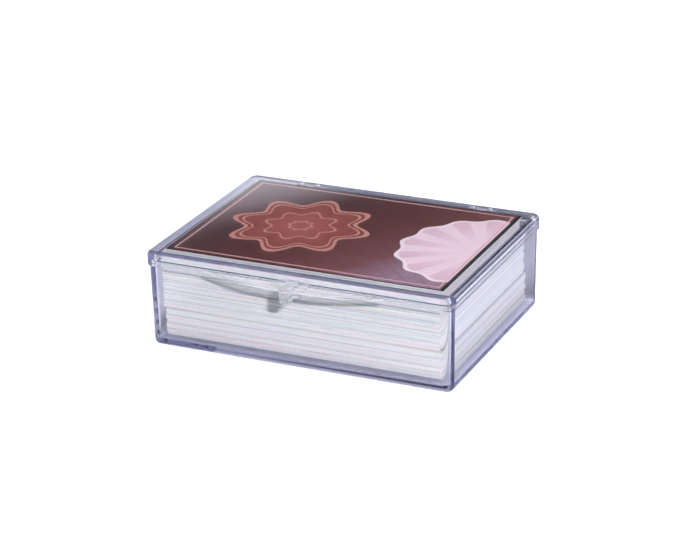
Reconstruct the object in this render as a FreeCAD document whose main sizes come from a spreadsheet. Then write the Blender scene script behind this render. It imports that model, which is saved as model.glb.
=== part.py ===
"""Clear hinged card storage box, full of trading cards.

The frame is in millimetres with +Z up. The origin is the centre of the flat underside, +X runs along the
long side and -Y points at the front, where the thumb lip and the catch are. The hinge is at the rear.
"""
import FreeCAD, Part
import math
import os
import Sketcher

# Driving dimensions in millimetres
SIZES = {
    # One trading card, and the room that the well leaves around the stack
    "card_length": 88.9,
    "card_width": 63.5,
    "card_thickness": 0.32,
    "end_gap": 2.25,
    "side_gap": 2.15,
    "floor_gap": 0.05,
    "headroom": 0.33,
    # Tray moulding
    "wall": 1.8,
    "floor_thickness": 2.0,
    "base_taper": 0.4,
    "well_taper": 0.25,
    "corner_round": 2.6,
    "well_round": 1.2,
    "bottom_round": 1.6,
    "floor_round": 0.4,
    "rim_height": 1.4,
    "rim_wall": 0.75,
    "rim_gap": 0.15,
    # Lid moulding
    "lid_plate": 1.8,
    "lid_skirt": 4.5,
    "lid_overhang": 0.5,
    "top_round": 1.5,
    # Air between the closed mouldings, and the small round along the edges that meet there
    "seat_gap": 0.1,
    "edge_round": 0.25,
    # Thumb lip, catch and keeper at the front
    "lip_half_span": 28.6,
    "lip_reach": 4.8,
    "lip_thickness": 1.1,
    "lip_round": 0.3,
    "catch_width": 3.5,
    "catch_reach": 7.0,
    "catch_drop": 2.45,
    "catch_rise": 3.05,
    "catch_corner": 1.3,
    "catch_round": 0.5,
    "catch_gap": 0.15,
    "bridge_rise": 2.6,
    "boss_width": 9.4,
    "boss_rise": 2.2,
    "boss_reach": 1.4,
    "boss_corner": 0.7,
    "keeper_foot": 4.0,
    "keeper_nose": 2.6,
    "keeper_thickness": 0.9,
    # Snap hinge at the rear
    "hinge_offset": 29.2,
    "knuckle_width": 4.1,
    "knuckle_gap": 0.1,
    "knuckle_wall": 1.05,
    "ear_thickness": 1.5,
    "ear_wall": 0.9,
    "pin_diameter": 2.2,
    "pin_gap": 0.05,
    "hinge_gap": 0.3,
    "lug_drop": 5.5,
    "lug_shelf": 0.3,
    "snap_slot": 1.8,
    # How far a feature is rooted in the wall that carries it, and how far a cut runs past
    "root": 0.6,
    "overrun": 1.0,
}

# The stack: loose cards in packs, with the printed card on top of them
PACKS = 20
CARDS_PER_PACK = 4
LOOSE_CARDS = PACKS * CARDS_PER_PACK

# How the stack leans in the well, as shares of the room beside it
LOWER_PACKS = 7
LOWER_LEAN_SHARE = -0.48
UPPER_LEAN_SHARE = -0.74
SIDE_LEAN_SHARE = 0.75
PACK_WANDER_SHARE = 0.07
CARD_WANDER_SHARE = 0.04
SIDE_WANDER_SHARE = 0.16
TOP_CARD_LEAN_SHARES = (-0.35, 0.80)
WANDER_TURN = 2.4

# Lengths, depths and heights that follow from the driving dimensions
STACK_HEIGHT = f"({LOOSE_CARDS + 1} * Sizes.card_thickness)"
WELL_LENGTH = "(Sizes.card_length + 2 * Sizes.end_gap)"
WELL_DEPTH = "(Sizes.card_width + 2 * Sizes.side_gap)"
BASE_LENGTH = f"({WELL_LENGTH} + 2 * Sizes.wall)"
BASE_DEPTH = f"({WELL_DEPTH} + 2 * Sizes.wall)"
RIM_LENGTH = f"({WELL_LENGTH} + 2 * Sizes.rim_wall)"
RIM_DEPTH = f"({WELL_DEPTH} + 2 * Sizes.rim_wall)"
LID_LENGTH = f"({BASE_LENGTH} + 2 * Sizes.lid_overhang)"
LID_DEPTH = f"({BASE_DEPTH} + 2 * Sizes.lid_overhang)"
STACK_FOOT = "(Sizes.floor_thickness + Sizes.floor_gap)"
PLATE_UNDERSIDE = f"({STACK_FOOT} + {STACK_HEIGHT} + Sizes.headroom)"
LID_TOP = f"({PLATE_UNDERSIDE} + Sizes.lid_plate)"
SKIRT_EDGE = f"({LID_TOP} - Sizes.lid_skirt)"
PARTING = f"({SKIRT_EDGE} - Sizes.seat_gap)"
LIP_FOOT = f"({SKIRT_EDGE} + Sizes.edge_round)"
RIM_TOP = f"({PARTING} + Sizes.rim_height)"
RIM_ROUND = "(Sizes.well_round + Sizes.rim_wall)"

# Front face of the lid, and the faces of the catch, as distances in front of the middle
LID_FACE = f"({LID_DEPTH} / 2)"
BASE_FACE = f"({BASE_DEPTH} / 2)"
LIP_FACE = f"({LID_FACE} + Sizes.lip_reach)"
CATCH_BACK = f"({LIP_FACE} + Sizes.catch_gap)"
CATCH_FACE = f"({LID_FACE} + Sizes.catch_reach)"
LIP_RADIUS = "((Sizes.lip_half_span ^ 2 + Sizes.lip_reach ^ 2) / (2 * Sizes.lip_reach))"

# Hinge axis, barrels and ears
BORE_RADIUS = "(Sizes.pin_diameter / 2 + Sizes.pin_gap)"
KNUCKLE_RADIUS = f"({BORE_RADIUS} + Sizes.knuckle_wall)"
EAR_RADIUS = "(Sizes.pin_diameter / 2 + Sizes.ear_wall)"
AXIS_DEPTH = f"({LID_FACE} + Sizes.hinge_gap + {KNUCKLE_RADIUS})"
KNUCKLE_START = "(Sizes.hinge_offset - Sizes.knuckle_width / 2)"
INNER_EAR = f"({KNUCKLE_START} - Sizes.knuckle_gap - Sizes.ear_thickness)"
OUTER_EAR = f"({KNUCKLE_START} + Sizes.knuckle_width + Sizes.knuckle_gap)"
EAR_SPAN = f"({OUTER_EAR} + Sizes.ear_thickness - {INNER_EAR})"

ORIGIN_POINT = (-1, 1)
START, END, CENTRE = range(1, 4)

# Edges of a rounded rectangle, in the order in which they are drawn
NEAR, NEAR_RIGHT, RIGHT, FAR_RIGHT, FAR, FAR_LEFT, LEFT, NEAR_LEFT = range(8)

Z_AXIS = FreeCAD.Vector(0, 0, 1)
SAME_PLACE = 1e-5

doc = FreeCAD.newDocument("card_box")
sheet = doc.addObject("Spreadsheet::Sheet", "Sizes")
for row, (alias, number) in enumerate(SIZES.items(), start=1):
    sheet.set(f"A{row}", alias)
    sheet.set(f"B{row}", str(number))
    sheet.setAlias(f"B{row}", alias)
doc.recompute()


def size(expression):
    """Value of an expression on the sheet."""
    return float(sheet.evalExpression(expression))


def make_body(label):
    """New body whose label names the file of its shape."""
    body = doc.addObject("PartDesign::Body", label)
    body.Label = label
    return body


def origin_plane(body, role):
    """One of the body's own origin planes."""
    return next(feature for feature in body.Origin.OriginFeatures if feature.Role == role)


def make_sketch(body, name, role, lift, rise="0"):
    """Sketch on an origin plane, lifted along its normal and moved up its own vertical axis."""
    sketch = body.newObject("Sketcher::SketchObject", name)
    sketch.AttachmentSupport = [(origin_plane(body, role), "")]
    sketch.MapMode = "FlatFace"
    sketch.setExpression("AttachmentOffset.Base.z", lift)
    sketch.setExpression("AttachmentOffset.Base.y", rise)
    return sketch


def bind(sketch, name, kind, references, expression):
    """Dimension of a sketch that follows an expression on the sheet."""
    index = sketch.addConstraint(Sketcher.Constraint(kind, *references, size(expression)))
    sketch.renameConstraint(index, name)
    sketch.setExpression(f"Constraints.{name}", expression)


def tie(sketch, kind, *references):
    """Geometric constraint of a sketch."""
    sketch.addConstraint(Sketcher.Constraint(kind, *references))


def line(sketch, start, end):
    """Straight edge of a sketch between two points."""
    sketch.addGeometry(Part.LineSegment(FreeCAD.Vector(*start, 0), FreeCAD.Vector(*end, 0)), False)


def arc(sketch, centre, radius, start_angle, end_angle):
    """Round edge of a sketch, drawn anticlockwise between two angles."""
    circle = Part.Circle(FreeCAD.Vector(*centre, 0), Z_AXIS, radius)
    sketch.addGeometry(Part.ArcOfCircle(circle, start_angle, end_angle), False)


def rounded_rectangle(sketch, length, depth, radius):
    """Rectangle with round corners about the sketch's origin."""
    half_x = size(length) / 2
    half_y = size(depth) / 2
    r = size(radius)
    quarter = math.pi / 2
    line(sketch, (r - half_x, -half_y), (half_x - r, -half_y))
    arc(sketch, (half_x - r, r - half_y), r, -quarter, 0)
    line(sketch, (half_x, r - half_y), (half_x, half_y - r))
    arc(sketch, (half_x - r, half_y - r), r, 0, quarter)
    line(sketch, (half_x - r, half_y), (r - half_x, half_y))
    arc(sketch, (r - half_x, half_y - r), r, quarter, 2 * quarter)
    line(sketch, (-half_x, half_y - r), (-half_x, r - half_y))
    arc(sketch, (r - half_x, r - half_y), r, 2 * quarter, 3 * quarter)
    for edge in range(sketch.GeometryCount):
        tie(sketch, "Tangent", edge, END, (edge + 1) % sketch.GeometryCount, START)
    for edge in (NEAR, FAR):
        tie(sketch, "Horizontal", edge)
    for edge in (LEFT, RIGHT):
        tie(sketch, "Vertical", edge)
    for corner in (FAR_RIGHT, FAR_LEFT, NEAR_LEFT):
        tie(sketch, "Equal", NEAR_RIGHT, corner)
    tie(sketch, "Symmetric", NEAR_RIGHT, CENTRE, FAR_LEFT, CENTRE, *ORIGIN_POINT)
    bind(sketch, "length", "DistanceX", (LEFT, START, RIGHT, START), length)
    bind(sketch, "depth", "DistanceY", (NEAR, START, FAR, START), depth)
    bind(sketch, "radius", "Radius", (NEAR_RIGHT,), radius)


def outline(sketch, points):
    """Closed outline of straight edges, with both places of every corner bound."""
    places = [(size(x), size(y)) for x, y in points]
    for index, place in enumerate(places):
        line(sketch, place, places[(index + 1) % len(places)])
    for index, (x, y) in enumerate(points):
        tie(sketch, "Coincident", index - 1 if index else len(points) - 1, END, index, START)
        bind(sketch, f"across_{index}", "DistanceX", (*ORIGIN_POINT, index, START), x)
        bind(sketch, f"along_{index}", "DistanceY", (*ORIGIN_POINT, index, START), y)


def circle(sketch, x, y, radius):
    """Full circle with its centre and radius bound."""
    centre = FreeCAD.Vector(size(x), size(y), 0)
    sketch.addGeometry(Part.Circle(centre, Z_AXIS, size(radius)), False)
    bind(sketch, "across", "DistanceX", (*ORIGIN_POINT, 0, CENTRE), x)
    bind(sketch, "along", "DistanceY", (*ORIGIN_POINT, 0, CENTRE), y)
    bind(sketch, "radius", "Radius", (0,), radius)


def crescent(sketch, half_span, face, radius, root):
    """Shallow arc in front of a wall's face, closed by a strip rooted in that wall."""
    half_x = size(half_span)
    face_y = -size(face)
    r = size(radius)
    root_y = face_y + size(root)
    centre_y = face_y + math.sqrt(r ** 2 - half_x ** 2)
    line(sketch, (half_x, face_y), (half_x, root_y))
    line(sketch, (half_x, root_y), (-half_x, root_y))
    line(sketch, (-half_x, root_y), (-half_x, face_y))
    left_angle = math.atan2(face_y - centre_y, -half_x)
    right_angle = math.atan2(face_y - centre_y, half_x)
    arc(sketch, (0, centre_y), r, left_angle, right_angle)
    for first, second in ((0, 1), (1, 2), (2, 3), (3, 0)):
        tie(sketch, "Coincident", first, END, second, START)
    tie(sketch, "Vertical", 0)
    tie(sketch, "Horizontal", 1)
    tie(sketch, "Vertical", 2)
    tie(sketch, "Horizontal", 0, START, 2, END)
    bind(sketch, "right", "DistanceX", (*ORIGIN_POINT, 0, START), half_span)
    bind(sketch, "left", "DistanceX", (2, END, *ORIGIN_POINT), half_span)
    bind(sketch, "face", "DistanceY", (0, START, *ORIGIN_POINT), face)
    bind(sketch, "root", "DistanceY", (0, START, 0, END), root)
    bind(sketch, "radius", "Radius", (3,), radius)


def tangent_angle(centre, radius, point, side):
    """Angle on a circle where the line from an outside point touches it, on one of two sides."""
    across = point[0] - centre[0]
    along = point[1] - centre[1]
    return math.atan2(along, across) + side * math.acos(radius / math.hypot(across, along))


def on_circle(centre, radius, angle):
    """Point on a circle at an angle."""
    return (centre[0] + radius * math.cos(angle), centre[1] + radius * math.sin(angle))


def hinge_plate(sketch, root, shelf, far, radius, side):
    """Side view of a hinge plate: a barrel about the axis, a level shelf and a sloping web to the wall.

    The shelf leaves the barrel level towards the wall, and the web touches the barrel and meets the wall at
    the height called far. Side is +1 where the web runs below the barrel and -1 where it runs above it.
    """
    centre = (size(AXIS_DEPTH), size(PARTING))
    r = size(radius)
    shelf_point = (size(root), size(shelf))
    far_point = (size(root), size(far))
    web_angle = tangent_angle(centre, r, far_point, side)
    shelf_angle = math.pi - math.asin((shelf_point[1] - centre[1]) / r)
    web_point = on_circle(centre, r, web_angle)
    barrel_point = on_circle(centre, r, shelf_angle)
    if side > 0:
        arc(sketch, centre, r, web_angle, shelf_angle)
        web_end, shelf_end = START, END
    else:
        arc(sketch, centre, r, shelf_angle, web_angle + 2 * math.pi)
        web_end, shelf_end = END, START
    line(sketch, web_point, far_point)
    line(sketch, far_point, shelf_point)
    line(sketch, shelf_point, barrel_point)
    tie(sketch, "Tangent", 0, web_end, 1, START)
    tie(sketch, "Coincident", 1, END, 2, START)
    tie(sketch, "Coincident", 2, END, 3, START)
    tie(sketch, "Coincident", 3, END, 0, shelf_end)
    tie(sketch, "Vertical", 2)
    tie(sketch, "Horizontal", 3)
    bind(sketch, "axis_depth", "DistanceX", (*ORIGIN_POINT, 0, CENTRE), AXIS_DEPTH)
    bind(sketch, "axis_height", "DistanceY", (*ORIGIN_POINT, 0, CENTRE), PARTING)
    bind(sketch, "radius", "Radius", (0,), radius)
    bind(sketch, "root", "DistanceX", (*ORIGIN_POINT, 2, START), root)
    bind(sketch, "far", "DistanceY", (*ORIGIN_POINT, 2, START), far)
    bind(sketch, "shelf", "DistanceY", (*ORIGIN_POINT, 2, END), shelf)


def pad(body, name, sketch, length, reverse=False):
    """Solid added along the sketch's normal."""
    feature = body.newObject("PartDesign::Pad", name)
    feature.Profile = sketch
    feature.Reversed = reverse
    feature.setExpression("Length", length)
    doc.recompute()
    return feature


def pocket(body, name, sketch, length, reverse=False):
    """Solid taken away, with the volume compared so that a cut in the wrong direction is found."""
    before = body.Shape.Volume
    feature = body.newObject("PartDesign::Pocket", name)
    feature.Profile = sketch
    feature.Reversed = reverse
    feature.setExpression("Length", length)
    doc.recompute()
    if body.Shape.Volume >= before:
        raise RuntimeError(f"{name} cuts nothing")
    return feature


def loft(body, kind, name, first, last):
    """Tapered solid added or taken away between two sketches."""
    feature = body.newObject(f"PartDesign::{kind}Loft", name)
    feature.Profile = first
    feature.Sections = [last]
    feature.Ruled = True
    doc.recompute()
    return feature


def draft_walls(body, name, base, rise, taper):
    """Upright walls of a pad, drawn in by the taper at the foot while the top keeps its outline."""
    faces = list(enumerate(base.Shape.Faces, start=1))
    walls = [f"Face{index}" for index, face in faces if abs(face.normalAt(0, 0).z) < SAME_PLACE]
    top, _ = max(faces, key=lambda numbered: numbered[1].BoundBox.ZMin)
    feature = body.newObject("PartDesign::Draft", name)
    feature.Base = (base, walls)
    feature.NeutralPlane = (base, [f"Face{top}"])
    feature.Reversed = True
    feature.setExpression("Angle", f"atan({taper} / {rise})")
    doc.recompute()
    return feature


def round_edges(body, name, base, radius, chosen):
    """Fillet on those edges of a feature that the given test picks."""
    names = [f"Edge{index}" for index, edge in enumerate(base.Shape.Edges, start=1) if chosen(edge)]
    feature = body.newObject("PartDesign::Fillet", name)
    feature.Base = (base, names)
    feature.setExpression("Radius", radius)
    doc.recompute()
    return feature


def mirror_across_middle(body, name, originals):
    """Copy of features on the other side of the middle plane."""
    feature = body.newObject("PartDesign::Mirrored", name)
    feature.Originals = originals
    feature.MirrorPlane = (origin_plane(body, "YZ_Plane"), [""])
    body.Tip = feature
    doc.recompute()
    return feature


def level_edge(height):
    """Test for an edge that lies wholly at one height."""
    level = size(height)

    def chosen(edge):
        box = edge.BoundBox
        return max(abs(box.ZMin - level), abs(box.ZMax - level)) < SAME_PLACE

    return chosen


def make_base_tray():
    """Tray with drafted walls, a rim for the lid, the catch's keeper and two hinge sockets."""
    body = make_body("base_tray")

    shoulder = make_sketch(body, "tray_shoulder", "XY_Plane", "0")
    rounded_rectangle(shoulder, BASE_LENGTH, BASE_DEPTH, "Sizes.corner_round")
    block = pad(body, "tray_block", shoulder, PARTING)
    drafted = draft_walls(body, "wall_draft", block, PARTING, "Sizes.base_taper")
    footed = round_edges(body, "underside_round", drafted, "Sizes.bottom_round", level_edge("0"))
    round_edges(body, "shoulder_round", footed, "Sizes.edge_round", level_edge(PARTING))

    rim = make_sketch(body, "rim_outline", "XY_Plane", PARTING)
    rounded_rectangle(rim, RIM_LENGTH, RIM_DEPTH, RIM_ROUND)
    rim_pad = pad(body, "rim", rim, "Sizes.rim_height")
    round_edges(body, "rim_round", rim_pad, "Sizes.edge_round", level_edge(RIM_TOP))

    floor = make_sketch(body, "well_floor", "XY_Plane", "Sizes.floor_thickness")
    rounded_rectangle(floor, f"{WELL_LENGTH} - 2 * Sizes.well_taper", f"{WELL_DEPTH} - 2 * Sizes.well_taper",
                      "Sizes.well_round - Sizes.well_taper")
    mouth = make_sketch(body, "well_mouth", "XY_Plane", RIM_TOP)
    rounded_rectangle(mouth, WELL_LENGTH, WELL_DEPTH, "Sizes.well_round")
    well = loft(body, "Subtractive", "card_well", floor, mouth)

    inside = size(WELL_LENGTH) / 2

    def floor_edge(edge):
        box = edge.BoundBox
        return level_edge("Sizes.floor_thickness")(edge) and max(abs(box.XMin), abs(box.XMax)) < inside

    round_edges(body, "floor_round", well, "Sizes.floor_round", floor_edge)

    keeper = make_sketch(body, "keeper_outline", "XY_Plane", PARTING)
    foot = f"-{BASE_FACE} + Sizes.root"
    outline(keeper, [
        ("-Sizes.keeper_foot", foot),
        ("-Sizes.keeper_nose", f"-{LIP_FACE}"),
        ("Sizes.keeper_nose", f"-{LIP_FACE}"),
        ("Sizes.keeper_foot", foot),
    ])
    pad(body, "catch_keeper", keeper, "Sizes.keeper_thickness", reverse=True)

    lug = make_sketch(body, "lug_outline", "YZ_Plane", KNUCKLE_START)
    hinge_plate(lug, f"{BASE_FACE} - Sizes.root", f"{PARTING} - Sizes.lug_shelf",
                f"{PARTING} - Sizes.lug_drop", KNUCKLE_RADIUS, 1)
    lug_pad = pad(body, "hinge_lug", lug, "Sizes.knuckle_width")
    bore = make_sketch(body, "bore_outline", "YZ_Plane", KNUCKLE_START)
    circle(bore, AXIS_DEPTH, PARTING, BORE_RADIUS)
    bore_cut = pocket(body, "hinge_bore", bore, "Sizes.knuckle_width", reverse=True)
    slot = make_sketch(body, "slot_outline", "YZ_Plane", KNUCKLE_START)
    slot_end = f"{AXIS_DEPTH} + {KNUCKLE_RADIUS} + Sizes.overrun"
    outline(slot, [
        (AXIS_DEPTH, f"{PARTING} - Sizes.snap_slot / 2"),
        (slot_end, f"{PARTING} - Sizes.snap_slot / 2"),
        (slot_end, f"{PARTING} + Sizes.snap_slot / 2"),
        (AXIS_DEPTH, f"{PARTING} + Sizes.snap_slot / 2"),
    ])
    slot_cut = pocket(body, "snap_mouth", slot, "Sizes.knuckle_width", reverse=True)
    mirror_across_middle(body, "other_socket", [lug_pad, bore_cut, slot_cut])
    return body


def make_lid():
    """Lid with a rebate over the tray's rim, the thumb lip, the catch and two pinned pairs of ears."""
    body = make_body("lid")

    skirt = make_sketch(body, "lid_outline", "XY_Plane", SKIRT_EDGE)
    rounded_rectangle(skirt, LID_LENGTH, LID_DEPTH, "Sizes.corner_round")
    block = pad(body, "lid_block", skirt, "Sizes.lid_skirt")
    topped = round_edges(body, "top_round", block, "Sizes.top_round", level_edge(LID_TOP))
    round_edges(body, "skirt_round", topped, "Sizes.edge_round", level_edge(SKIRT_EDGE))

    hollow = make_sketch(body, "hollow_outline", "XY_Plane", SKIRT_EDGE)
    rounded_rectangle(hollow, WELL_LENGTH, WELL_DEPTH, "Sizes.well_round")
    pocket(body, "lid_hollow", hollow, "Sizes.lid_skirt - Sizes.lid_plate", reverse=True)
    rebate = make_sketch(body, "rebate_outline", "XY_Plane", SKIRT_EDGE)
    rounded_rectangle(rebate, f"{RIM_LENGTH} + 2 * Sizes.rim_gap", f"{RIM_DEPTH} + 2 * Sizes.rim_gap",
                      f"{RIM_ROUND} + Sizes.rim_gap")
    pocket(body, "rim_rebate", rebate, "Sizes.rim_height + Sizes.rim_gap", reverse=True)

    lip = make_sketch(body, "lip_outline", "XY_Plane", LIP_FOOT)
    crescent(lip, "Sizes.lip_half_span", LID_FACE, LIP_RADIUS, "Sizes.root")
    lip_pad = pad(body, "thumb_lip", lip, "Sizes.lip_thickness")
    lip_depth = size(LIP_FACE)
    face_depth = size(LID_FACE)

    def lip_edge(edge):
        box = edge.BoundBox
        return -box.YMin > (lip_depth + face_depth) / 2 and box.ZLength < SAME_PLACE

    round_edges(body, "lip_round", lip_pad, "Sizes.lip_round", lip_edge)

    boss = make_sketch(body, "boss_outline", "XZ_Plane", f"{LID_FACE} - Sizes.root",
                       f"{LIP_FOOT} + Sizes.boss_rise / 2")
    rounded_rectangle(boss, "Sizes.boss_width", "Sizes.boss_rise", "Sizes.boss_corner")
    pad(body, "catch_boss", boss, "Sizes.boss_reach + Sizes.root")
    bridge = make_sketch(body, "bridge_outline", "XZ_Plane", f"{LID_FACE} - Sizes.root")
    half_width = "Sizes.catch_width / 2"
    outline(bridge, [
        (f"-{half_width}", LIP_FOOT),
        (half_width, LIP_FOOT),
        (half_width, f"{SKIRT_EDGE} + Sizes.bridge_rise"),
        (f"-{half_width}", f"{SKIRT_EDGE} + Sizes.bridge_rise"),
    ])
    pad(body, "catch_bridge", bridge, f"{CATCH_BACK} - {LID_FACE} + 2 * Sizes.root")

    catch = make_sketch(body, "catch_outline", "XZ_Plane", CATCH_BACK,
                        f"{SKIRT_EDGE} + (Sizes.catch_rise - Sizes.catch_drop) / 2")
    rounded_rectangle(catch, "Sizes.catch_width", "Sizes.catch_rise + Sizes.catch_drop", "Sizes.catch_corner")
    catch_pad = pad(body, "catch", catch, f"{CATCH_FACE} - {CATCH_BACK}")
    catch_depth = size(CATCH_FACE)

    def catch_edge(edge):
        return -edge.BoundBox.YMax > catch_depth - size("Sizes.catch_gap")

    round_edges(body, "catch_round", catch_pad, "Sizes.catch_round", catch_edge)

    originals = []
    root = f"{LID_FACE} - Sizes.root"
    for name, start in (("inner_ear", INNER_EAR), ("outer_ear", OUTER_EAR)):
        ear = make_sketch(body, f"{name}_outline", "YZ_Plane", start)
        hinge_plate(ear, root, SKIRT_EDGE, f"{LID_TOP} - Sizes.top_round", EAR_RADIUS, -1)
        originals.append(pad(body, name, ear, "Sizes.ear_thickness"))
    pin = make_sketch(body, "pin_outline", "YZ_Plane", INNER_EAR)
    circle(pin, AXIS_DEPTH, PARTING, "Sizes.pin_diameter / 2")
    originals.append(pad(body, "hinge_pin", pin, EAR_SPAN))
    mirror_across_middle(body, "other_ears", originals)
    return body


def make_card(name, level, end_lean, side_lean):
    """One card, level cards up from the floor of the well, leaning by shares of the room beside it."""
    card = doc.addObject("Part::Box", name)
    card.setExpression("Length", "Sizes.card_length")
    card.setExpression("Width", "Sizes.card_width")
    card.setExpression("Height", "Sizes.card_thickness")
    end_room = "(Sizes.end_gap - Sizes.well_taper)"
    side_room = "(Sizes.side_gap - Sizes.well_taper)"
    card.setExpression("Placement.Base.x", f"{end_lean:.4f} * {end_room} - Sizes.card_length / 2")
    card.setExpression("Placement.Base.y", f"{side_lean:.4f} * {side_room} - Sizes.card_width / 2")
    card.setExpression("Placement.Base.z", f"{STACK_FOOT} + {level} * Sizes.card_thickness")
    return card


def make_card_pack(pack):
    """Pack of loose cards that lie almost square on each other."""
    lean = LOWER_LEAN_SHARE if pack < LOWER_PACKS else UPPER_LEAN_SHARE
    lean += PACK_WANDER_SHARE * math.sin(WANDER_TURN * pack)
    side = SIDE_LEAN_SHARE + SIDE_WANDER_SHARE * math.cos(WANDER_TURN * pack)
    cards = []
    for place in range(CARDS_PER_PACK):
        level = pack * CARDS_PER_PACK + place
        wander = CARD_WANDER_SHARE * math.sin(WANDER_TURN * level)
        cards.append(make_card(f"card_{level + 1:02d}", level, lean + wander, side + wander))
    group = doc.addObject("Part::Compound", f"card_pack_{pack + 1:02d}")
    group.Label = f"card_pack_{pack + 1:02d}"
    group.Links = cards
    return group


def make_top_card():
    """Printed card that lies face up on the stack."""
    card = make_card("top_card", LOOSE_CARDS, *TOP_CARD_LEAN_SHARES)
    card.Label = "top_card"
    return card


sub_parts = [make_base_tray(), make_lid(), make_top_card()]
sub_parts += [make_card_pack(pack) for pack in range(PACKS)]
doc.recompute()

for item in doc.Objects:
    if "Invalid" in item.State or "Error" in item.State:
        raise RuntimeError(f"{item.Name} failed: {item.State}")
for sub_part in sub_parts:
    if sub_part.Shape.isNull() or not sub_part.Shape.isValid():
        raise RuntimeError(f"{sub_part.Label} has no valid shape")

os.makedirs("parts", exist_ok=True)
for sub_part in sub_parts:
    sub_part.Shape.exportStep(f"parts/{sub_part.Label}.step")
    box = sub_part.Shape.BoundBox
    print(f"{sub_part.Label}: {len(sub_part.Shape.Solids)} solids, volume {sub_part.Shape.Volume:.1f}, "
          f"size {box.XLength:.2f} by {box.YLength:.2f} by {box.ZLength:.2f}")
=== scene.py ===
"""Looks of a clear hinged card storage box that is full of trading cards.

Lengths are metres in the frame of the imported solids: +Z is up, the long side runs along X and the front, with
the thumb lip and the catch, faces -Y.
"""
import logging
import math
from dataclasses import dataclass
from enum import Enum
from typing import Any, Dict, List, Mapping, Optional, Sequence, Tuple, Union

import bmesh
import bpy
from mathutils import Matrix, Vector


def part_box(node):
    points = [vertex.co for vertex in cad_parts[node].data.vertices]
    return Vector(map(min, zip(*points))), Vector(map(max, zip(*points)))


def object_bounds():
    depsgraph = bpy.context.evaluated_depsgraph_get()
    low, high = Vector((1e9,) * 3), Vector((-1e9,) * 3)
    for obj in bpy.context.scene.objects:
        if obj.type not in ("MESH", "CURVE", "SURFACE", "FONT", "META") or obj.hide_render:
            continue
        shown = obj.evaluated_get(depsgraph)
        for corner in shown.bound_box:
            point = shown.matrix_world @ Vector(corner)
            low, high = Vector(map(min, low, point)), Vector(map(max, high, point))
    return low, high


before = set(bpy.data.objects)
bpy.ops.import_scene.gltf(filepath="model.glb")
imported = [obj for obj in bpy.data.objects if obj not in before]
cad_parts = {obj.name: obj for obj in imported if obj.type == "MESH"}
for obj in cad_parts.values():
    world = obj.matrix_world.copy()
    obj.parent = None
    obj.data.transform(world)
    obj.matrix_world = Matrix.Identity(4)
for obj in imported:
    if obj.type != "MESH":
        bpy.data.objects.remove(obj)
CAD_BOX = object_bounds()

LOG = logging.getLogger("card_box")
MM = 0.001
BLACK = (0.0, 0.0, 0.0, 1.0)
WHITE = (1.0, 1.0, 1.0, 1.0)

# A pair belongs to the long and the short side. A span is where a soft step starts and where it ends.
Pair = Tuple[float, float]
Span = Tuple[float, float]
Colour = Tuple[float, float, float, float]
Stops = Tuple[Tuple[float, Colour], ...]
Socket = bpy.types.NodeSocket


def display(red: int, green: int, blue: int) -> Colour:
    """Scene-linear colour of a display colour, by the sRGB curve.

    Args:
        red: Red from 0 to 255.
        green: Green from 0 to 255.
        blue: Blue from 0 to 255.

    Returns:
        The colour as a shader takes it, with full alpha.
    """
    linear = []
    for channel in (red, green, blue):
        share = channel / 255
        linear.append(share / 12.92 if share <= 0.04045 else ((share + 0.055) / 1.055) ** 2.4)
    return (*linear, 1.0)


class Slot(Enum):
    """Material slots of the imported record."""

    CLEAR = "clear_plastic"
    PRINT = "printed_card"
    STOCK = "card_stock"


class Ray(Enum):
    """Outputs of the Light Path node that tell rays apart."""

    CAMERA = "Is Camera Ray"
    SHADOW = "Is Shadow Ray"
    DIFFUSE = "Is Diffuse Ray"
    GLOSSY = "Is Glossy Ray"
    THROUGH = "Is Transmission Ray"
    MIRRORINGS = "Glossy Depth"


@dataclass(frozen=True)
class Grain:
    """A soft noise, with its grains to a metre and the number of its finer layers."""

    scale: float
    detail: float = 2.0


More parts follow.
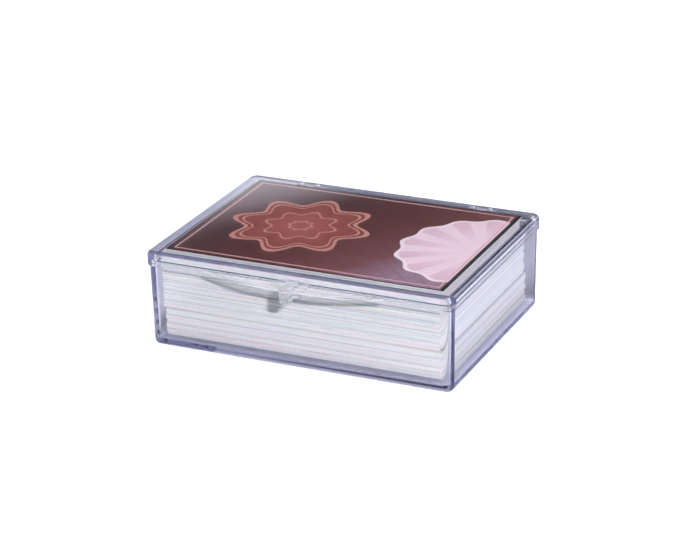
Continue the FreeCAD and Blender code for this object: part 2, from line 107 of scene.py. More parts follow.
class Signal:
    """A number in a shader that takes part in Python sums."""

    def __init__(self, bench: "Bench", socket: Socket) -> None:
        """Keeps the socket and the bench that its sums are added to."""
        self.bench = bench
        self.socket = socket

    def __add__(self, other: "Number") -> "Signal":
        """Sum."""
        return self.bench.math("ADD", self, other)

    def __mul__(self, other: "Number") -> "Signal":
        """Product."""
        return self.bench.math("MULTIPLY", self, other)

    def __sub__(self, other: "Number") -> "Signal":
        """Difference."""
        return self.bench.math("SUBTRACT", self, other)

    def __rsub__(self, other: "Number") -> "Signal":
        """Difference from a plain number."""
        return self.bench.math("SUBTRACT", other, self)

    def __truediv__(self, other: "Number") -> "Signal":
        """Quotient."""
        return self.bench.math("DIVIDE", self, other)

    def __abs__(self) -> "Signal":
        """Size without sign."""
        return self.bench.math("ABSOLUTE", self)

    def __gt__(self, other: "Number") -> "Signal":
        """One where this is greater, and zero elsewhere."""
        return self.bench.math("GREATER_THAN", self, other)

    def __lt__(self, other: "Number") -> "Signal":
        """One where this is less, and zero elsewhere."""
        return self.bench.math("LESS_THAN", self, other)

    def floor(self) -> "Signal":
        """Whole number below."""
        return self.bench.math("FLOOR", self)

    def fraction(self) -> "Signal":
        """Part after the whole number."""
        return self.bench.math("FRACT", self)

    def root(self) -> "Signal":
        """Square root."""
        return self.bench.math("SQRT", self)

    def cosine(self) -> "Signal":
        """Cosine of an angle in radians."""
        return self.bench.math("COSINE", self)

    def angle_to(self, other: "Number") -> "Signal":
        """Angle of the point whose height is this and whose reach is the other."""
        return self.bench.math("ARCTAN2", self, other)

    def largest(self, other: "Number") -> "Signal":
        """The greater of two."""
        return self.bench.math("MAXIMUM", self, other)

    def smallest(self, other: "Number") -> "Signal":
        """The lesser of two."""
        return self.bench.math("MINIMUM", self, other)

    def rise(self, low: float, high: float) -> "Signal":
        """Smooth step.

        Args:
            low: Where the step starts from zero.
            high: Where it reaches one. It may lie below low, for a step down.

        Returns:
            The step, from zero to one.
        """
        span = {"From Min": low, "From Max": high}
        settings = {"interpolation_type": "SMOOTHSTEP", "clamp": True}
        made = self.bench.node("ShaderNodeMapRange", settings, {"Value": self, **span})
        return Signal(self.bench, made.outputs["Result"])


Number = Union[float, Signal]
Link = Union[Signal, Socket, float, Sequence[float]]


class Bench:
    """The nodes of one material or world."""

    def __init__(self, tree: bpy.types.NodeTree) -> None:
        """Starts from an empty tree."""
        self.tree = tree
        tree.nodes.clear()

    def node(
        self,
        kind: str,
        settings: Optional[Mapping[str, Any]] = None,
        sockets: Optional[Mapping[Union[str, int], Link]] = None,
    ) -> bpy.types.Node:
        """Adds one node.

        Args:
            kind: The node's type.
            settings: Its own settings, set first. The stops of a ramp are pairs of place and colour.
            sockets: Values or links of its inputs, by name or number.

        Returns:
            The node.
        """
        made = self.tree.nodes.new(kind)
        for name, value in (settings or {}).items():
            if name == "stops":
                elements = made.color_ramp.elements
                while len(elements) < len(value):
                    elements.new(1.0)
                for element, (place, colour) in zip(elements, value):
                    element.position = place
                    element.color = colour
            elif name == "interpolation":
                made.color_ramp.interpolation = value
            else:
                setattr(made, name, value)
        for key, value in (sockets or {}).items():
            source = value.socket if isinstance(value, Signal) else value
            if isinstance(source, Socket):
                self.tree.links.new(source, made.inputs[key])
            else:
                made.inputs[key].default_value = source
        return made

    def math(self, operation: str, *values: Number) -> Signal:
        """Adds a Math node.

        Args:
            operation: The node's operation.
            values: Its inputs in order.

        Returns:
            The result.
        """
        made = self.node("ShaderNodeMath", {"operation": operation}, dict(enumerate(values)))
        return Signal(self, made.outputs["Value"])

    def mix(self, factor: Number, first: Link, second: Link) -> Socket:
        """Mixes two colours.

        Args:
            factor: Share of the second colour.
            first: Colour where the factor is zero.
            second: Colour where the factor is one.

        Returns:
            The mixed colour.
        """
        settings = {"data_type": "RGBA", "blend_type": "MIX", "clamp_factor": True}
        made = self.node("ShaderNodeMix", settings, {0: factor, 6: first, 7: second})
        return made.outputs[2]

    def cover(self, factor: Number, first: Socket, second: Socket) -> Socket:
        """Mixes two surfaces.

        Args:
            factor: Share of the second surface.
            first: Surface where the factor is zero.
            second: Surface where the factor is one.

        Returns:
            The mixed surface.
        """
        made = self.node("ShaderNodeMixShader", sockets={0: factor, 1: first, 2: second})
        return made.outputs["Shader"]

    def place(self) -> Socket:
        """Place on the piece, in the frame."""
        return self.node("ShaderNodeTexCoord").outputs["Object"]

    def facing(self) -> Socket:
        """Direction that the piece's own surface faces."""
        return self.node("ShaderNodeTexCoord").outputs["Normal"]

    def rays(self, *kinds: Ray) -> List[Signal]:
        """What the Light Path node says of a ray, in the order asked."""
        path = self.node("ShaderNodeLightPath")
        return [Signal(self, path.outputs[kind.value]) for kind in kinds]

    def parts(self, vector: Socket) -> List[Signal]:
        """X, Y and Z of a vector."""
        made = self.node("ShaderNodeSeparateXYZ", sockets={"Vector": vector})
        return [Signal(self, socket) for socket in made.outputs]

    def joined(self, x: Number, y: Number, z: Number) -> Socket:
        """Vector of three numbers."""
        return self.node("ShaderNodeCombineXYZ", sockets={0: x, 1: y, 2: z}).outputs["Vector"]

    def noise(self, vector: Socket, grain: Grain) -> Signal:
        """Soft noise from zero to one.

        Args:
            vector: Where the noise is read.
            grain: Its scale and detail.

        Returns:
            The noise.
        """
        sockets = {"Vector": vector, "Scale": grain.scale, "Detail": grain.detail}
        return Signal(self, self.node("ShaderNodeTexNoise", sockets=sockets).outputs["Fac"])

    def chance(self, number: Number, draw: float) -> Signal:
        """A fixed random number from zero to one for each whole number.

        Args:
            number: The whole number.
            draw: Which of several independent draws it is.

        Returns:
            The random number.
        """
        sockets = {0: self.joined(number, draw, 0.0)}
        made = self.node("ShaderNodeTexWhiteNoise", {"noise_dimensions": "2D"}, sockets)
        return Signal(self, made.outputs["Value"])

    def ramp(self, number: Number, stops: Stops, steps: bool = False) -> Socket:
        """Colour for a number.

        Args:
            number: From zero to one.
            stops: Pairs of place and colour.
            steps: True where the colours don't run into each other.

        Returns:
            The colour.
        """
        settings = {"interpolation": "CONSTANT" if steps else "LINEAR", "stops": stops}
        return self.node("ShaderNodeValToRGB", settings, {"Fac": number}).outputs["Color"]

    def bump(self, height: Signal, distance: float, strength: float = 1.0) -> Socket:
        """Normal of a surface with small relief.

        Args:
            height: The relief.
            distance: Its height in metres where the relief is one.
            strength: How much of it shows.

        Returns:
            The normal.
        """
        sockets = {"Height": height, "Distance": distance, "Strength": strength}
        return self.node("ShaderNodeBump", sockets=sockets).outputs["Normal"]


def new_material(name: str) -> Tuple[bpy.types.Material, Bench]:
    """Makes an empty material.

    Args:
        name: Its name.

    Returns:
        The material and the bench for its nodes.
    """
    material = bpy.data.materials.new(name)
    material.use_nodes = True
    return material, Bench(material.node_tree)


@dataclass(frozen=True)
class ClearStyrene:
    """Clear moulded plastic with a faint violet toner that shows along its edges.

    Lamps and the light off the cards pass straight through it. The lip and the catch stand in front of
    front_face: they hold that light back and carry a white haze, partly wear and mostly a painted highlight.
    """

    name: str = "clear_styrene"
    ior: float = 1.59
    gloss: float = 0.012
    haze: float = 0.05
    ripple: Grain = Grain(90.0)
    ripple_height: float = 1e-6
    rub: Grain = Grain(420.0, 6.0)
    rub_span: Span = (0.62, 0.78)
    rub_stretch: Pair = (0.25, 2.2)
    patches: Grain = Grain(38.0)
    patch_span: Span = (0.35, 0.7)
    toner: Colour = (0.42, 0.43, 0.72, 1.0)
    toner_density: float = 12.0
    lamp_share: Colour = (0.985, 0.985, 1.0, 1.0)
    front_face: float = -36.3 * MM
    level_span: Span = (0.75, 0.95)
    bar_shade: float = 0.95
    # Painted highlight: white diffuse over the lip and the catch, patterned by the rub marks of wear.
    scuff_and_highlight: Colour = display(250, 250, 253)
    scuff_and_highlight_share: float = 0.19
    scuff_and_highlight_least: float = 0.8
    scuff_and_highlight_rub: float = 0.4

    def mirrored(self, bench: Bench) -> Signal:
        """Share of the light that the surface mirrors.

        Args:
            bench: The material's nodes.

        Returns:
            The share, for light from outside and from within.
        """
        inside = Signal(bench, bench.node("ShaderNodeNewGeometry").outputs["Backfacing"])
        entering, leaving = (
            Signal(bench, bench.node("ShaderNodeFresnel", sockets={"IOR": ior}).outputs["Fac"])
            for ior in (self.ior, 1.0 / self.ior)
        )
        return entering * (1.0 - inside) + leaving * inside

    def make(self) -> bpy.types.Material:
        """Makes the material.

        Returns:
            The material.
        """
        material, bench = new_material(self.name)
        place = bench.place()
        x, y, z = bench.parts(place)
        along, across = self.rub_stretch
        streaks = bench.joined(x * along + y, y * across - x, z)
        rub = bench.noise(streaks, self.rub).rise(*self.rub_span)
        patches = bench.noise(place, self.patches).rise(*self.patch_span)
        plastic = bench.node("ShaderNodeBsdfPrincipled", sockets={
            "Base Color": WHITE,
            "Transmission Weight": 1.0,
            "IOR": self.ior,
            "Roughness": rub * patches * self.haze + self.gloss,
            "Normal": bench.bump(bench.noise(place, self.ripple), self.ripple_height),
        })
        opening = bench.node("ShaderNodeBsdfTransparent", sockets={"Color": self.lamp_share})
        lamp, card = bench.rays(Ray.SHADOW, Ray.DIFFUSE)
        upright = 1.0 - abs(bench.parts(bench.facing())[2]).rise(*self.level_span)
        front = y < self.front_face
        shade = front * upright * self.bar_shade
        open_share = lamp.largest(card) * (1.0 - self.mirrored(bench)) * (1.0 - shade)
        surface = bench.cover(open_share, plastic.outputs["BSDF"], opening.outputs["BSDF"])
        # Painted highlight: a share of white diffuse on the lip and the catch, more where the rub marks are.
        scuff_and_highlight = bench.node("ShaderNodeBsdfDiffuse", sockets={"Color": self.scuff_and_highlight})
        worn_and_highlit = front * (rub * self.scuff_and_highlight_rub + self.scuff_and_highlight_least) * self.scuff_and_highlight_share
        toner = bench.node("ShaderNodeVolumeAbsorption", sockets={
            "Color": self.toner,
            "Density": self.toner_density,
        })
        bench.node("ShaderNodeOutputMaterial", sockets={
            "Surface": bench.cover(worn_and_highlit, surface, scuff_and_highlight.outputs["BSDF"]),
            "Volume": toner.outputs["Volume"],
        })
        return material


@dataclass(frozen=True)
class CardOutline:
    """Outline of a card, which its print is laid out by."""

    centre: Vector
    length: float
    width: float
    rule_span: Span = (0.35 * MM, 0.25 * MM)

    @classmethod
    def between(cls, low: Vector, high: Vector) -> "CardOutline":
        """Outline of the card with these lowest and highest corners."""
        return cls(centre=(low + high) / 2, length=high.x - low.x, width=high.y - low.y)

    def across(self, bench: Bench) -> Tuple[Signal, Signal]:
        """Distances from the card's middle, along the card and across it."""
        x, y, _ = bench.parts(bench.place())
        return x - self.centre.x, y - self.centre.y

    def edge(self, u: Signal, v: Signal) -> Signal:
        """Distance past the card's edge, less than zero on the card."""
        return (abs(u) - self.length / 2).largest(abs(v) - self.width / 2)

    def rule(self, edge: Signal, inset: float) -> Signal:
        """A thin line that follows the edge at an inset."""
        return abs(edge + inset).rise(*self.rule_span)

    def net(self, u: Signal, v: Signal, pitch: float) -> Signal:
        """Distance from the nearest line of a slanting net, as a share of its pitch."""
        rising, falling = (abs((way / pitch).fraction() - 0.5) for way in (u + v, u - v))
        return rising.smallest(falling)


@dataclass(frozen=True)
class CardStock:
    """Stack of coated cards, each with edges of its own white, and the printed back of the lowest one."""

    card: CardOutline
    foot: float
    thickness: float
    name: str = "card_stock"
    white_draw: float = 1.5
    whites: Stops = (
        (0.00, display(238, 239, 243)),
        (0.46, display(224, 226, 231)),
        (0.62, display(244, 211, 221)),
        (0.70, display(209, 230, 229)),
        (0.79, display(240, 235, 220)),
        (0.87, display(217, 214, 236)),
        (0.95, display(188, 190, 197)),
    )
    plain_white: Colour = display(234, 234, 237)
    tint: Grain = Grain(34.0)
    tint_step: float = 0.37
    tint_span: Span = (0.36, 0.66)
    # Painted shade that darkens the card edges towards the seam between two cards.
    seam_shade: Colour = display(122, 125, 136)
    seam_shade_draw: float = 4.5
    seam_span: Span = (0.30, 0.5)
    seam_shade_depth_span: Span = (0.35, 1.0)
    seam_shade_share: float = 0.9
    seam_relief: float = 0.6
    back_share: float = 0.02
    back_border: Colour = display(236, 236, 240)
    back_panel: Colour = display(112, 124, 158)
    back_lines: Colour = display(206, 212, 226)
    panel_span: Span = (-3.2 * MM, -3.4 * MM)
    rule_inset: float = 4.6 * MM
    net_span: Span = (-5.4 * MM, -5.6 * MM)
    net_pitch: float = 3 * MM
    net_line_span: Span = (0.1, 0.07)
    fibre: Grain = Grain(1400.0, 3.0)
    fibre_stretch: float = 5.0
    fibre_colour: Colour = display(196, 198, 208)
    fibre_share: float = 0.16
    roughness: float = 0.55
    fibre_roughness: float = 0.2
    relief: float = 2e-5
    relief_strength: float = 0.6

    def edges(self, bench: Bench) -> Tuple[Socket, Signal]:
        """Cut edges of the cards.

        Args:
            bench: The material's nodes.

        Returns:
            Their colour, with painted shade darkening it towards the seams between cards, and how near the seam
            between two cards is.
        """
        x, y, z = bench.parts(bench.place())
        count = (z - self.foot) / self.thickness
        card = count.floor()
        whites = bench.ramp(bench.chance(card, self.white_draw), self.whites, steps=True)
        along = bench.noise(bench.joined(x, y, card * self.tint_step), self.tint)
        tint = bench.mix(along.rise(*self.tint_span), self.plain_white, whites)
        # Painted shade in the seams: darker where two cards meet, by a random depth for each seam.
        near = abs(count.fraction() - 0.5).rise(*self.seam_span)
        shade_depth = bench.chance((count + 0.5).floor(), self.seam_shade_draw).rise(*self.seam_shade_depth_span)
        return bench.mix(near * shade_depth * self.seam_shade_share, tint, self.seam_shade), near

    def back(self, bench: Bench) -> Socket:
        """Printed back of a card.

        Args:
            bench: The material's nodes.

        Returns:
            The colour of its border, panel, rule and net.
        """
        u, v = self.card.across(bench)
        edge = self.card.edge(u, v)
        net = self.card.net(u, v, self.net_pitch).rise(*self.net_line_span)
        lines = self.card.rule(edge, self.rule_inset).largest(net * edge.rise(*self.net_span))
        panel = bench.mix(lines, self.back_panel, self.back_lines)
        return bench.mix(edge.rise(*self.panel_span), self.back_border, panel)

    def make(self) -> bpy.types.Material:
        """Makes the material.

        Returns:
            The material.
        """
        material, bench = new_material(self.name)
        x, y, z = bench.parts(bench.place())
        edges, near_seam = self.edges(bench)
        underside = z < self.foot + self.thickness * self.back_share
        colour = bench.mix(underside, edges, self.back(bench))
        fibre = bench.noise(bench.joined(x, y, z * self.fibre_stretch), self.fibre)
        height = fibre - near_seam * self.seam_relief
        paper = bench.node("ShaderNodeBsdfPrincipled", sockets={
            "Base Color": bench.mix(fibre * self.fibre_share, colour, self.fibre_colour),
            "Roughness": fibre * self.fibre_roughness + self.roughness,
            "Normal": bench.bump(height, self.relief, self.relief_strength),
        })
        bench.node("ShaderNodeOutputMaterial", sockets={"Surface": paper.outputs["BSDF"]})
        return material


@dataclass(frozen=True)
class PrintedFace:
    """Coated card printed with a rosette, a fan and a line frame on a maroon ground.

    The rosette and the fan are drawn in shares of their own size, which is one at their outer edge.
    """

    card: CardOutline
    face: float
    name: str = "printed_face"
    ink_depth: float = 0.05 * MM
    ground_stops: Stops = (
        (0.00, display(112, 90, 97)),
        (0.20, display(72, 44, 45)),
        (0.36, display(78, 37, 36)),
        (0.58, display(91, 47, 45)),
        (0.80, display(116, 70, 72)),
        (1.00, display(152, 123, 144)),
    )
    ground_slant: float = 0.45
    drift: Grain = Grain(40.0, 3.0)
    drift_stretch: Pair = (0.5, 3.0)
    drift_share: float = 0.12
    net_colour: Colour = display(60, 34, 38)
    net_pitch: float = 6 * MM
    net_line: float = 0.035
    net_share: float = 0.35
    outer_span: Span = (1.0, 0.985)
    rosette_middle: Colour = display(160, 86, 80)
    rosette_outer: Colour = display(132, 62, 58)
    rosette_lines: Colour = display(196, 138, 127)
    rosette_place_share: float = 0.17
    rosette_share: float = 0.36
    petals: float = 8.0
    petal_share: float = 0.12
    rosette_fade_span: Span = (0.1, 1.0)
    rosette_rim: float = 0.95
    rosette_rim_span: Span = (0.045, 0.03)
    rings: float = 3.0
    ring_span: Span = (0.07, 0.045)
    rings_end_span: Span = (0.93, 0.9)
    fan_pale: Colour = display(242, 216, 229)
    fan_deep: Colour = display(214, 168, 191)
    fan_line: Colour = display(246, 230, 236)
    fan_share: float = 0.42
    ribs: float = 14.0
    scallop_share: float = 0.03
    rib_span: Span = (-0.1, 0.1)
    rib_fade_span: Span = (0.2, 0.9)
    rib_depth: float = 0.55
    fan_rim: float = 0.97
    fan_rim_span: Span = (0.03, 0.02)
    rule_colour: Colour = display(224, 176, 178)
    rule_inset: float = 2.2 * MM
    rule_share: float = 0.9
    border_colour: Colour = display(9, 5, 8)
    border_span: Span = (-0.6 * MM, -0.5 * MM)
    # Painted shade: the dark border widens at the right end, where the gap beside the box's wall lies in shade.
    right_gap_shade_span: Span = (-1.4 * MM, -1.3 * MM)
    bare_card: Colour = display(232, 232, 238)
    fibre: Grain = Grain(2600.0, 3.0)
    fibre_colour: Colour = display(120, 90, 95)
    fibre_share: float = 0.03
    roughness: float = 0.24
    fibre_roughness: float = 0.1
    specular: float = 0.12
    coat: float = 0.06
    coat_roughness: float = 0.25
    relief: float = 4e-6
    relief_strength: float = 0.4

    def ground(self, bench: Bench, u: Signal, v: Signal) -> Socket:
        """Maroon ground that pales at both ends, under a faint net.

        Args:
            bench: The material's nodes.
            u: Distance from the card's middle along it.
            v: Distance from the card's middle across it.

        Returns:
            The colour of the ground.
        """
        x, y, _ = bench.parts(bench.place())
        along, across = self.drift_stretch
        drift = bench.noise(bench.joined(x * along, y * across, 0.0), self.drift)
        run = u / self.card.length - v / self.card.width * self.ground_slant + 0.5
        ground = bench.ramp(run + (drift - 0.5) * self.drift_share, self.ground_stops)
        net = self.card.net(u, v, self.net_pitch) < self.net_line
        return bench.mix(net * self.net_share, ground, self.net_colour)

    def rosette(self, bench: Bench, u: Signal, v: Signal, under: Socket) -> Socket:
        """Ringed rosette at the left of the card.

        Args:
            bench: The material's nodes.
            u: Distance from the card's middle along it.
            v: Distance from the card's middle across it.
            under: The colour that it is printed on.

        Returns:
            The colour with the rosette.
        """
        u = u + self.card.length * self.rosette_place_share
        petal = (v.angle_to(u) * self.petals).cosine() * self.petal_share + (1.0 - self.petal_share)
        size = (u * u + v * v).root() / petal / (self.card.width * self.rosette_share)
        salmon = bench.mix(size.rise(*self.rosette_fade_span), self.rosette_middle, self.rosette_outer)
        rim = abs(size - self.rosette_rim).rise(*self.rosette_rim_span)
        rings = abs((size * self.rings).fraction() - 0.5).rise(*self.ring_span)
        lines = rim.largest(rings * size.rise(*self.rings_end_span))
        colour = bench.mix(size.rise(*self.outer_span), under, salmon)
        return bench.mix(lines, colour, self.rosette_lines)

    def fan(self, bench: Bench, u: Signal, v: Signal, under: Socket) -> Socket:
        """Ribbed fan at the right end of the card.

        Args:
            bench: The material's nodes.
            u: Distance from the card's middle along it.
            v: Distance from the card's middle across it.
            under: The colour that it is printed on.

        Returns:
            The colour with the fan.
        """
        u = u - self.card.length / 2
        wave = (v.angle_to(0.0 - u) * self.ribs).cosine()
        scallop = wave * self.scallop_share + (1.0 - self.scallop_share)
        size = (u * u + v * v).root() / scallop / (self.card.width * self.fan_share)
        ribs = wave.rise(*self.rib_span) * size.rise(*self.rib_fade_span)
        pink = bench.mix(ribs * self.rib_depth, self.fan_pale, self.fan_deep)
        colour = bench.mix(size.rise(*self.outer_span), under, pink)
        return bench.mix(abs(size - self.fan_rim).rise(*self.fan_rim_span), colour, self.fan_line)

    def line_frame(self, bench: Bench, u: Signal, v: Signal, under: Socket) -> Socket:
        """Thin rule inside a dark printed border, which is wider at the right as painted shade of the gap
        beside the wall.

        Args:
            bench: The material's nodes.
            u: Distance from the card's middle along it.
            v: Distance from the card's middle across it.
            under: The colour that it is printed on.

        Returns:
            The colour with the frame.
        """
        edge = self.card.edge(u, v)
        rule = self.card.rule(edge, self.rule_inset)
        colour = bench.mix(rule * self.rule_share, under, self.rule_colour)
        # Painted shade at the right end, on top of the printed border all round.
        right = (u - self.card.length / 2).rise(*self.right_gap_shade_span)
        return bench.mix(edge.rise(*self.border_span).largest(right), colour, self.border_colour)

    def make(self) -> bpy.types.Material:
        """Makes the material.

        Returns:
            The material.
        """
        material, bench = new_material(self.name)
        place = bench.place()
        u, v = self.card.across(bench)
        ink = self.ground(bench, u, v)
        for motif in (self.rosette, self.fan, self.line_frame):
            ink = motif(bench, u, v, ink)
        inked = bench.parts(place)[2] > self.face - self.ink_depth
        colour = bench.mix(inked, self.bare_card, ink)
        fibre = bench.noise(place, self.fibre)
        card = bench.node("ShaderNodeBsdfPrincipled", sockets={
            "Base Color": bench.mix(fibre * self.fibre_share, colour, self.fibre_colour),
            "Roughness": fibre * self.fibre_roughness + self.roughness,
            "Specular IOR Level": self.specular,
            "Coat Weight": inked * self.coat,
            "Coat Roughness": self.coat_roughness,
            "Normal": bench.bump(fibre, self.relief, self.relief_strength),
        })
        bench.node("ShaderNodeOutputMaterial", sockets={"Surface": card.outputs["BSDF"]})
        return material


@dataclass(frozen=True)
class WhiteTable:
    """Matt white table top that stays white in the picture and keeps a soft shadow.

    In clear edges it shows a painted shade: grey, and darker before and behind the box than beside it. Farther
    off it is white through clear plastic too, so that the open lid looks clear.
    """

    name: str = "white_table"
    albedo: Colour = (0.62, 0.62, 0.635, 1.0)
    grain: Grain = Grain(300.0, 4.0)
    grain_colour: Colour = (0.5, 0.5, 0.52, 1.0)
    grain_share: float = 0.04
    lift: Colour = (0.5, 0.5, 0.5, 1.0)
    far_lift: Colour = WHITE
    far_span: Span = (0.25, 0.9)
    # Painted shade of the table as reflections and clear plastic show it, under, before, behind and beside the
    # box.
    shade_under_box: Colour = (0.50, 0.50, 0.66, 1.0)
    shade_beyond_box: Colour = (0.14, 0.145, 0.19, 1.0)
    shade_beside_box: Colour = (0.46, 0.46, 0.60, 1.0)
    half_box: Pair = (48 * MM, 35 * MM)
    away_span: Span = (0.0, 8 * MM)
    beside_span: Span = (52 * MM, 62 * MM)
    white_span: Span = (72 * MM, 92 * MM)

    def make(self) -> bpy.types.Material:
        """Makes the material.

        Returns:
            The material.
        """
        material, bench = new_material(self.name)
        place = bench.place()
        x, y, _ = bench.parts(place)
        half_length, half_width = self.half_box
        outside = (abs(x) - half_length).largest(abs(y) - half_width)
        # Painted shade: grey under the box, darkest before and behind it, for glossy rays and rays through
        # plastic.
        beyond = bench.mix(abs(x).rise(*self.beside_span), self.shade_beyond_box, self.shade_beside_box)
        shade_in_edges = bench.mix(outside.rise(*self.away_span), self.shade_under_box, beyond)
        grain = bench.noise(place, self.grain)
        colour = bench.mix(grain * self.grain_share, self.albedo, self.grain_colour)
        camera, glossy, through, mirrorings = bench.rays(Ray.CAMERA, Ray.GLOSSY, Ray.THROUGH, Ray.MIRRORINGS)
        shown = camera.largest((mirrorings < 0.5) * through * outside.rise(*self.white_span))
        board = bench.node("ShaderNodeBsdfDiffuse", sockets={
            "Color": bench.mix(glossy.largest(through) * (1.0 - shown), colour, shade_in_edges),
        })
        lift = bench.mix((x * x + y * y).root().rise(*self.far_span), self.lift, self.far_lift)
        glow = bench.node("ShaderNodeEmission", sockets={"Color": bench.mix(shown, BLACK, lift)})
        both = bench.node("ShaderNodeAddShader", sockets={
            0: board.outputs["BSDF"],
            1: glow.outputs["Emission"],
        })
        bench.node("ShaderNodeOutputMaterial", sockets={"Surface": both.outputs["Shader"]})
        return material


def dress(node: str, material: bpy.types.Material) -> None:
    """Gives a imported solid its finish.

    Args:
        node: The solid's name.
        material: The finish.
    """
    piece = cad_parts[node]
    piece.data.materials.clear()
    piece.data.materials.append(material)
    LOG.info("%s wears %s", node, material.name)


@dataclass
class ClearCase:
    """The two clear mouldings."""

    nodes: Tuple[str, ...] = ("base_tray", "lid")
    finish: ClearStyrene = ClearStyrene()

    def dress(self) -> None:
        """Gives both mouldings the clear plastic."""
        material = self.finish.make()
        for node in self.nodes:
            dress(node, material)


@dataclass
class CardStack:
    """The loose cards under the printed one."""

    cards: int = 80
    prefix: str = "card_pack_"

    def nodes(self) -> List[str]:
        """Names of the packs from the bottom up."""
        return sorted(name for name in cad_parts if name.startswith(self.prefix))

    def dress(self) -> None:
        """Gives every pack the card stock, counted in cards from the bottom of the stack."""
        names = self.nodes()
        low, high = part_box(names[0])
        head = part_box(names[-1])[1].z
        stock = CardStock(
            card=CardOutline.between(low, high),
            foot=low.z,
            thickness=(head - low.z) / self.cards,
        )
        material = stock.make()
        for name in names:
            dress(name, material)


@dataclass
class TopCard:
    """The printed card that shows through the lid."""

    node: str = "top_card"

    def dress(self) -> None:
        """Prints the upper face of the card."""
        low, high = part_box(self.node)
        face = PrintedFace(card=CardOutline.between(low, high), face=high.z)
        dress(self.node, face.make())


@dataclass(frozen=True)
class SoftLamp:
    """A square studio lamp that points at the box and doesn't show in clear or glossy faces."""

    name: str
    towards: Tuple[float, float, float]
    distance: float
    size: float
    watts: float

    def build(self, aim: Vector) -> bpy.types.Object:
        """Makes the lamp.

        Args:
            aim: The point that it lights.

        Returns:
            The lamp's object.
        """
        light = bpy.data.lights.new(self.name, "AREA")
        light.shape = "SQUARE"
        light.size = self.size
        light.energy = self.watts
        lamp = bpy.data.objects.new(self.name, light)
        direction = Vector(self.towards).normalized()
        lamp.location = aim + direction * self.distance
        lamp.rotation_mode = "QUATERNION"
        lamp.rotation_quaternion = direction.to_track_quat("Z", "Y")
        lamp.visible_transmission = False
        lamp.visible_glossy = False
        bpy.context.scene.collection.objects.link(lamp)
        return lamp


@dataclass(frozen=True)
class PhotoCamera:
    """Camera where the photograph was taken from, with its focal length in pixels of the picture."""

    name: str = "photo_camera"
    azimuth: float = 24.7
    elevation: float = 22.4
    roll: float = -1.2
    distance: float = 0.719
    aim_height: float = 0.01507
    aside: float = 0.00089
    above: float = -0.00017
    focal_pixels: float = 2383.0
    picture_width: float = 700.0
    sensor: float = 36.0
    nearest: float = 0.01

    def build(self) -> bpy.types.Object:
        """Makes the camera and gives it to the scene.

        Returns:
            The camera's object.
        """
        azimuth, elevation, roll = (math.radians(a) for a in (self.azimuth, self.elevation, self.roll))
        back = Vector((
            math.sin(azimuth) * math.cos(elevation),
            -math.cos(azimuth) * math.cos(elevation),
            math.sin(elevation),
        ))
        level = Vector((math.cos(azimuth), math.sin(azimuth), 0.0))
        upright = back.cross(level)
        right = level * math.cos(roll) + upright * math.sin(roll)
        up = upright * math.cos(roll) - level * math.sin(roll)
        turn = Matrix((right, up, back)).transposed().to_4x4()
        aim = Vector((0.0, 0.0, self.aim_height))
        spot = aim + back * self.distance + right * self.aside + up * self.above
        lens = bpy.data.cameras.new(self.name)
        lens.sensor_fit = "HORIZONTAL"
        lens.sensor_width = self.sensor
        lens.lens = self.focal_pixels / self.picture_width * self.sensor
        lens.clip_start = self.nearest
        camera = bpy.data.objects.new(self.name, lens)
        camera.matrix_world = Matrix.Translation(spot) @ turn
        bpy.context.scene.collection.objects.link(camera)
        bpy.context.scene.camera = camera
        return camera


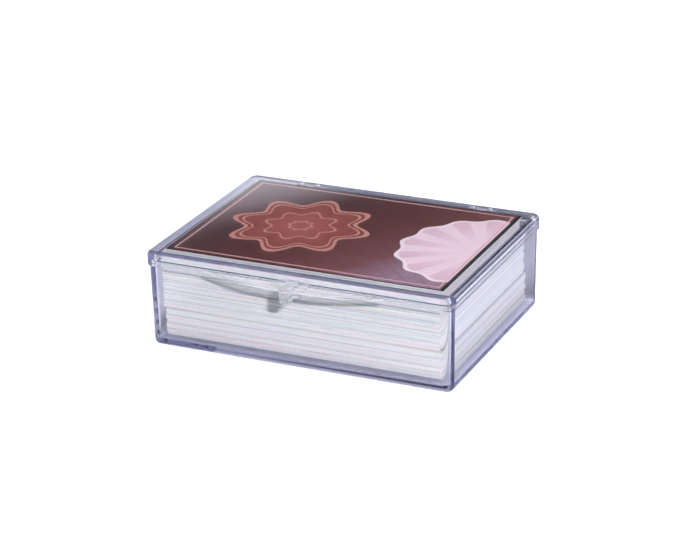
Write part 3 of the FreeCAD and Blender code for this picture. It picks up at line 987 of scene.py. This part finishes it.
@dataclass(frozen=True)
class PaleRoom:
    """Light of a pale room, which is white where the camera looks at it.

    Every span lies along one axis of the room: right is +X, back is +Y, and up and down are along Z.
    """

    name: str = "studio"
    ambient: Colour = (0.20, 0.20, 0.205, 1.0)
    wall: Colour = (0.19, 0.195, 0.25, 1.0)
    ceiling: Colour = (0.95, 0.95, 0.98, 1.0)
    ceiling_up: Span = (0.52, 0.8)
    window: Colour = (0.49, 0.49, 0.54, 1.0)
    window_right: Span = (0.35, 0.6)
    window_down: Span = (0.6, 0.5)
    flag: Colour = (0.018, 0.019, 0.027, 1.0)
    flag_back: Span = (0.68, 0.76)
    flag_down: Span = (0.55, 0.48)
    sweep: Colour = (0.88, 0.88, 0.91, 1.0)
    sweep_slope: float = 0.15
    sweep_down: Span = (0.2935, 0.2735)
    rim: Colour = (2.6, 2.6, 2.7, 1.0)
    rim_right: Span = (0.15, 0.3)
    rim_back: Span = (0.5, 0.65)
    rim_up: Span = (0.12, 0.2)
    rim_down: Span = (0.62, 0.52)

    def make(self) -> bpy.types.World:
        """Makes the room's light.

        Returns:
            The world.
        """
        world = bpy.data.worlds.new(self.name)
        world.use_nodes = True
        bench = Bench(world.node_tree)
        x, y, z = bench.parts(bench.node("ShaderNodeTexCoord").outputs["Generated"])
        camera, glossy, through, card = bench.rays(Ray.CAMERA, Ray.GLOSSY, Ray.THROUGH, Ray.DIFFUSE)
        height = z.rise(*self.rim_up) * z.rise(*self.rim_down)
        strip = x.rise(*self.rim_right) * y.rise(*self.rim_back) * height
        air = bench.mix(z.rise(*self.ceiling_up), self.wall, self.ceiling)
        for share, light in (
            (x.rise(*self.window_right) * z.rise(*self.window_down), self.window),
            (y.rise(*self.flag_back) * z.rise(*self.flag_down), self.flag),
            ((z + x * self.sweep_slope).rise(*self.sweep_down), self.sweep),
            (strip * glossy * (1.0 - through), self.rim),
            (card, self.ambient),
            (camera, WHITE),
        ):
            air = bench.mix(share, air, light)
        backdrop = bench.node("ShaderNodeBackground", sockets={"Color": air, "Strength": 1.0})
        bench.node("ShaderNodeOutputWorld", sockets={"Surface": backdrop.outputs["Background"]})
        return world


@dataclass
class Studio:
    """White table, soft lamps, a pale room and the camera."""

    table_reach: float = 3.0
    table_gap: float = 0.1 * MM
    bounces: int = 128
    clear_bounces: int = 96
    straight_bounces: int = 48
    table: WhiteTable = WhiteTable()
    room: PaleRoom = PaleRoom()
    camera: PhotoCamera = PhotoCamera()
    lamps: Tuple[SoftLamp, ...] = (
        SoftLamp("key_lamp", towards=(0.52, -0.71, 0.47), distance=0.8, size=0.04, watts=6.5),
        SoftLamp("side_lamp", towards=(0.95, -0.10, 0.30), distance=0.9, size=0.5, watts=1.3),
        SoftLamp("rear_lamp", towards=(-0.55, 0.80, 0.38), distance=0.9, size=0.6, watts=4.5),
        SoftLamp("top_lamp", towards=(0.12, 0.20, 1.0), distance=0.8, size=0.5, watts=5.1),
    )

    def build_table(self) -> None:
        """Makes the table top just under the box."""
        shape = bmesh.new()
        level = Matrix.Translation((0.0, 0.0, -self.table_gap))
        bmesh.ops.create_grid(shape, x_segments=1, y_segments=1, size=self.table_reach, matrix=level)
        mesh = bpy.data.meshes.new("table")
        shape.to_mesh(mesh)
        shape.free()
        table = bpy.data.objects.new("table", mesh)
        bpy.context.scene.collection.objects.link(table)
        table.data.materials.append(self.table.make())

    def build(self) -> None:
        """Makes the whole studio."""
        self.build_table()
        low, high = CAD_BOX
        aim = (low + high) / 2
        for lamp in self.lamps:
            lamp.build(aim)
        self.camera.build()
        scene = bpy.context.scene
        scene.world = self.room.make()
        scene.view_settings.view_transform = "Standard"
        scene.cycles.caustics_reflective = False
        scene.cycles.caustics_refractive = False
        scene.cycles.max_bounces = self.bounces
        scene.cycles.glossy_bounces = self.clear_bounces
        scene.cycles.transmission_bounces = self.clear_bounces
        scene.cycles.transparent_max_bounces = self.straight_bounces


def main() -> None:
    """Builds the box and its studio."""
    logging.basicConfig(level=logging.INFO, format="%(name)s: %(message)s")
    Studio().build()
    CardStack().dress()
    TopCard().dress()
    ClearCase().dress()


if __name__ == "__main__":
    main()
